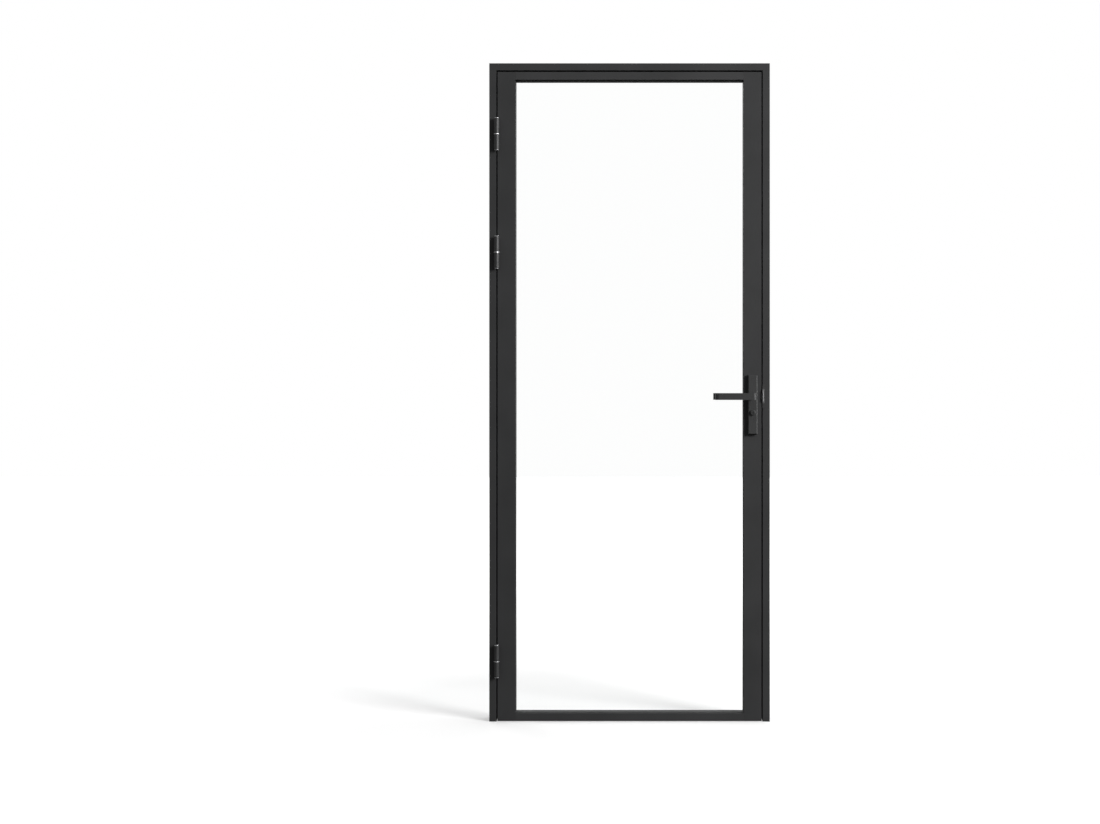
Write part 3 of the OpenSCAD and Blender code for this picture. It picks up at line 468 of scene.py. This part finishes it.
# %% [markdown]
# ## Hinges
# Each hinge has two flaps, two knuckles, a bright washer between them and a bright cap at each end.
# The knuckles are round, and only their ends need softening.

# %% Finish the hinges
FLAP_RADIUS, TRIM_RADIUS, SCREW_RADIUS = 0.35, 0.3, 0.15

halves = [f"{place}_hinge_{side}_half"
          for place in ("top", "middle", "bottom") for side in ("frame", "leaf")]
hinge_halves = soften_all(halves, FLAP_RADIUS)
hinge_trim = soften_all(("hinge_washers", "hinge_caps", "hinge_pins"), TRIM_RADIUS)
hinge_screws = soften_all(("frame_hinge_screws", "leaf_hinge_screws"), SCREW_RADIUS, steps=1)
print("hinges:", len(hinge_halves), "halves,", len(hinge_trim), "bright sets,",
      len(hinge_screws), "sets of screws")

# %% [markdown]
# ## Lock and handles
# The backplates are milled with a wide chamfer, which stays as it is, so only its edges are broken.
# The levers are square bars: their edges are rounder, because a hand closes on them. The strike
# plate's tongue is rolled over the jamb, and the forend is a flat strip with crisp edges.

# %% Finish the lock and the handles
LEVER_RADIUS, THUMBTURN_RADIUS = 0.9, 0.6
PLATE_RADIUS, BOLT_RADIUS, CYLINDER_RADIUS = 0.4, 0.3, 0.25

levers = soften_all(("front_lever", "back_lever"), LEVER_RADIUS, steps=3)
plates = soften_all(("front_backplate", "back_backplate"), PLATE_RADIUS)
cylinder = soften_all(("cylinder_body", "key_plug"), CYLINDER_RADIUS)
thumbturn = soften("thumbturn", THUMBTURN_RADIUS, steps=3)
strike_plate = soften("strike_plate", BOLT_RADIUS)
bolts = soften_all(("forend", "latch_bolt", "deadbolt"), BOLT_RADIUS)
screws = ("strike_screws", "forend_screws", "backplate_bolts", "cylinder_screw")
lock_screws = soften_all(screws, SCREW_RADIUS, steps=1)
lock_pieces = levers + plates + cylinder + [thumbturn, strike_plate] + bolts + lock_screws
print("lock:", [p.name for p in lock_pieces])

# %% [markdown]
# ## The painted highlight on the tongue
# The strike's tongue slopes towards the key lamp and catches its light, and its crest is painted
# lighter to stand for that: a painted highlight. It follows one direction: the further forward
# the surface stands, the lighter it is painted. So the Object coordinate's y drives it, from the
# tongue's crest back to its foot.

# %% Paint a highlight on the tongue's crest
# The lighter colour on the tongue's crest is a painted highlight for the key lamp's light.
PLAIN_COAT = (0.020, 0.020, 0.020)
HIGHLIGHT_COLOUR = (0.062, 0.062, 0.063)
PLAIN_BEHIND, HIGHLIGHT_WITHIN = 5 * MM, 2.5 * MM

highlight_coat, tree, shader = start_material("strike_painted_highlight_coat", specular=0.3)
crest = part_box("strike_plate")[0][1]
place = tree.nodes.new("ShaderNodeTexCoord")
axes = tree.nodes.new("ShaderNodeSeparateXYZ")
tree.links.new(place.outputs["Object"], axes.inputs["Vector"])
painted_highlight = rescale(tree, axes.outputs["Y"], crest + PLAIN_BEHIND, crest + HIGHLIGHT_WITHIN)
highlighted_colour = two_tone(tree, painted_highlight, PLAIN_COAT, HIGHLIGHT_COLOUR, 0, 1)
tree.links.new(highlighted_colour, shader.inputs["Base Color"])
tree.links.new(spread(tree, noise(tree, 900, 2), 0.36, 0.46), shader.inputs["Roughness"])
# The strike plate gets the coat with the painted highlight on its tongue.
strike_plate.material_slots[0].material = highlight_coat
print("tongue rubbed from y", round(crest, 4))

# %% [markdown]
# ## The floor
# The floor is a plain pale sheet that runs into the white wall without a line. It glows a little by
# itself, as a lit studio table does, so that shadows on it stay soft and light. Further out, where
# the lamp is weak, it glows more, and so it is evenly white up to the horizon. The floor is kept
# out of reflections and bounced light, so that the door is lit by the lamps and the room alone.

# %% Lay the floor
FLOOR_REACH = 14
PALE = (0.43, 0.43, 0.43, 1)
NEAR, FAR = 0.85, 3.8
NEAR_GLOW, FAR_GLOW = 0.297, 1.05

bm = bmesh.new()
bmesh.ops.create_grid(bm, x_segments=8, y_segments=8, size=FLOOR_REACH)
floor_mesh = bpy.data.meshes.new("floor")
bm.to_mesh(floor_mesh)
bm.free()
floor = bpy.data.objects.new("floor", floor_mesh)
bpy.context.scene.collection.objects.link(floor)
floor_material, tree, shader = start_material("pale_floor", roughness=1.0, specular=0.0)
shader.inputs["Base Color"].default_value = PALE
shader.inputs["Emission Color"].default_value = (1, 1, 1, 1)
place = tree.nodes.new("ShaderNodeTexCoord")
distance = tree.nodes.new("ShaderNodeVectorMath")
distance.operation = "LENGTH"
tree.links.new(place.outputs["Object"], distance.inputs[0])
glow = rescale(tree, distance.outputs["Value"], NEAR, FAR, NEAR_GLOW, FAR_GLOW)
tree.links.new(glow, shader.inputs["Emission Strength"])
floor_mesh.materials.append(floor_material)
floor.visible_glossy = False
floor.visible_diffuse = False
print("floor laid,", 2 * FLOOR_REACH, "m across")

# %% [markdown]
# ## The room
# The camera sees plain white all round. As light and in reflections the room is dimmer, above all
# below, so that the lamp does most of the work. Only behind the door to the right does it stay
# bright: narrow faces that are seen at a slant mirror what lies behind them, and this is what picks
# out the inner edges of the stiles and of the bottom rail.

# %% Make the room
world = bpy.data.worlds.new("room")
world.use_nodes = True
bpy.context.scene.world = world
tree = world.node_tree
tree.nodes.clear()
direction = tree.nodes.new("ShaderNodeTexCoord")
axes = tree.nodes.new("ShaderNodeSeparateXYZ")
tree.links.new(direction.outputs["Generated"], axes.inputs["Vector"])


def towards(axis, start, stop, low, high):
    """A number that goes from low to high as the direction turns along an axis."""
    return rescale(tree, axes.outputs[axis], start, stop, low, high)


def combine(operation, first, second):
    """The sum or product of two numbers."""
    sum_or_product = tree.nodes.new("ShaderNodeMath")
    sum_or_product.operation = operation
    tree.links.new(first, sum_or_product.inputs[0])
    tree.links.new(second, sum_or_product.inputs[1])
    return sum_or_product.outputs["Value"]


behind = towards("Y", start=0.0, stop=0.4, low=0.0, high=1.2)
to_the_right = towards("X", start=-0.05, stop=0.15, low=0.0, high=1.0)
above_floor = towards("Z", start=-0.2, stop=0.1, low=0.1, high=1.0)
behind_right = combine("MULTIPLY", combine("MULTIPLY", behind, to_the_right), above_floor)
ceiling = towards("Z", start=-0.3, stop=0.5, low=0.12, high=0.75)
dim = tree.nodes.new("ShaderNodeBackground")
dim.inputs["Color"].default_value = (1, 1, 1, 1)
tree.links.new(combine("ADD", ceiling, behind_right), dim.inputs["Strength"])
bright = tree.nodes.new("ShaderNodeBackground")
bright.inputs["Color"].default_value = (1, 1, 1, 1)
rays = tree.nodes.new("ShaderNodeLightPath")
mix = tree.nodes.new("ShaderNodeMixShader")
output = tree.nodes.new("ShaderNodeOutputWorld")
tree.links.new(rays.outputs["Is Camera Ray"], mix.inputs["Fac"])
tree.links.new(dim.outputs["Background"], mix.inputs[1])
tree.links.new(bright.outputs["Background"], mix.inputs[2])
tree.links.new(mix.outputs["Shader"], output.inputs["Surface"])
print("room:", world.name)

# %% [markdown]
# ## Lamps
# One large square lamp stands in front, to the right and above the door. It is some seven metres
# off, so the light fades a little across the door, and it is large enough to soften the shadows. A
# weaker one stands to the right, just behind the door's plane, so that it only grazes the door: it
# draws the bright lines down the right-hand side of the knuckles and the backplate. A third,
# behind, shows the shape of the other side.


# %% Set up the lamps
AIM = Vector((0, 0, 1.0))


def softbox(name, place, size, power):
    """A square lamp at a place, turned to face the middle of the door."""
    data = bpy.data.lights.new(name, "AREA")
    data.shape = "SQUARE"
    data.size = size
    data.energy = power
    lamp = bpy.data.objects.new(name, data)
    lamp.location = place
    lamp.rotation_euler = (AIM - Vector(place)).to_track_quat("-Z", "Y").to_euler()
    bpy.context.scene.collection.objects.link(lamp)
    return lamp


key_lamp = softbox("key_lamp", (5.0, -3.85, 3.15), size=2.45, power=765)
side_lamp = softbox("side_lamp", (6.0, 0.9, 1.9), size=3.2, power=220)
back_lamp = softbox("back_lamp", (-3.0, 4.5, 3.2), size=2.4, power=120)
print("lamps:", [lamp.name for lamp in (key_lamp, side_lamp, back_lamp)])

# %% [markdown]
# ## The solids' size
# Softened edges must not change the door's size. The box of the solids is printed.

# %% Print the solids' box and finish
print("solid box", [round(v, 4) for c in cad_box for v in c])
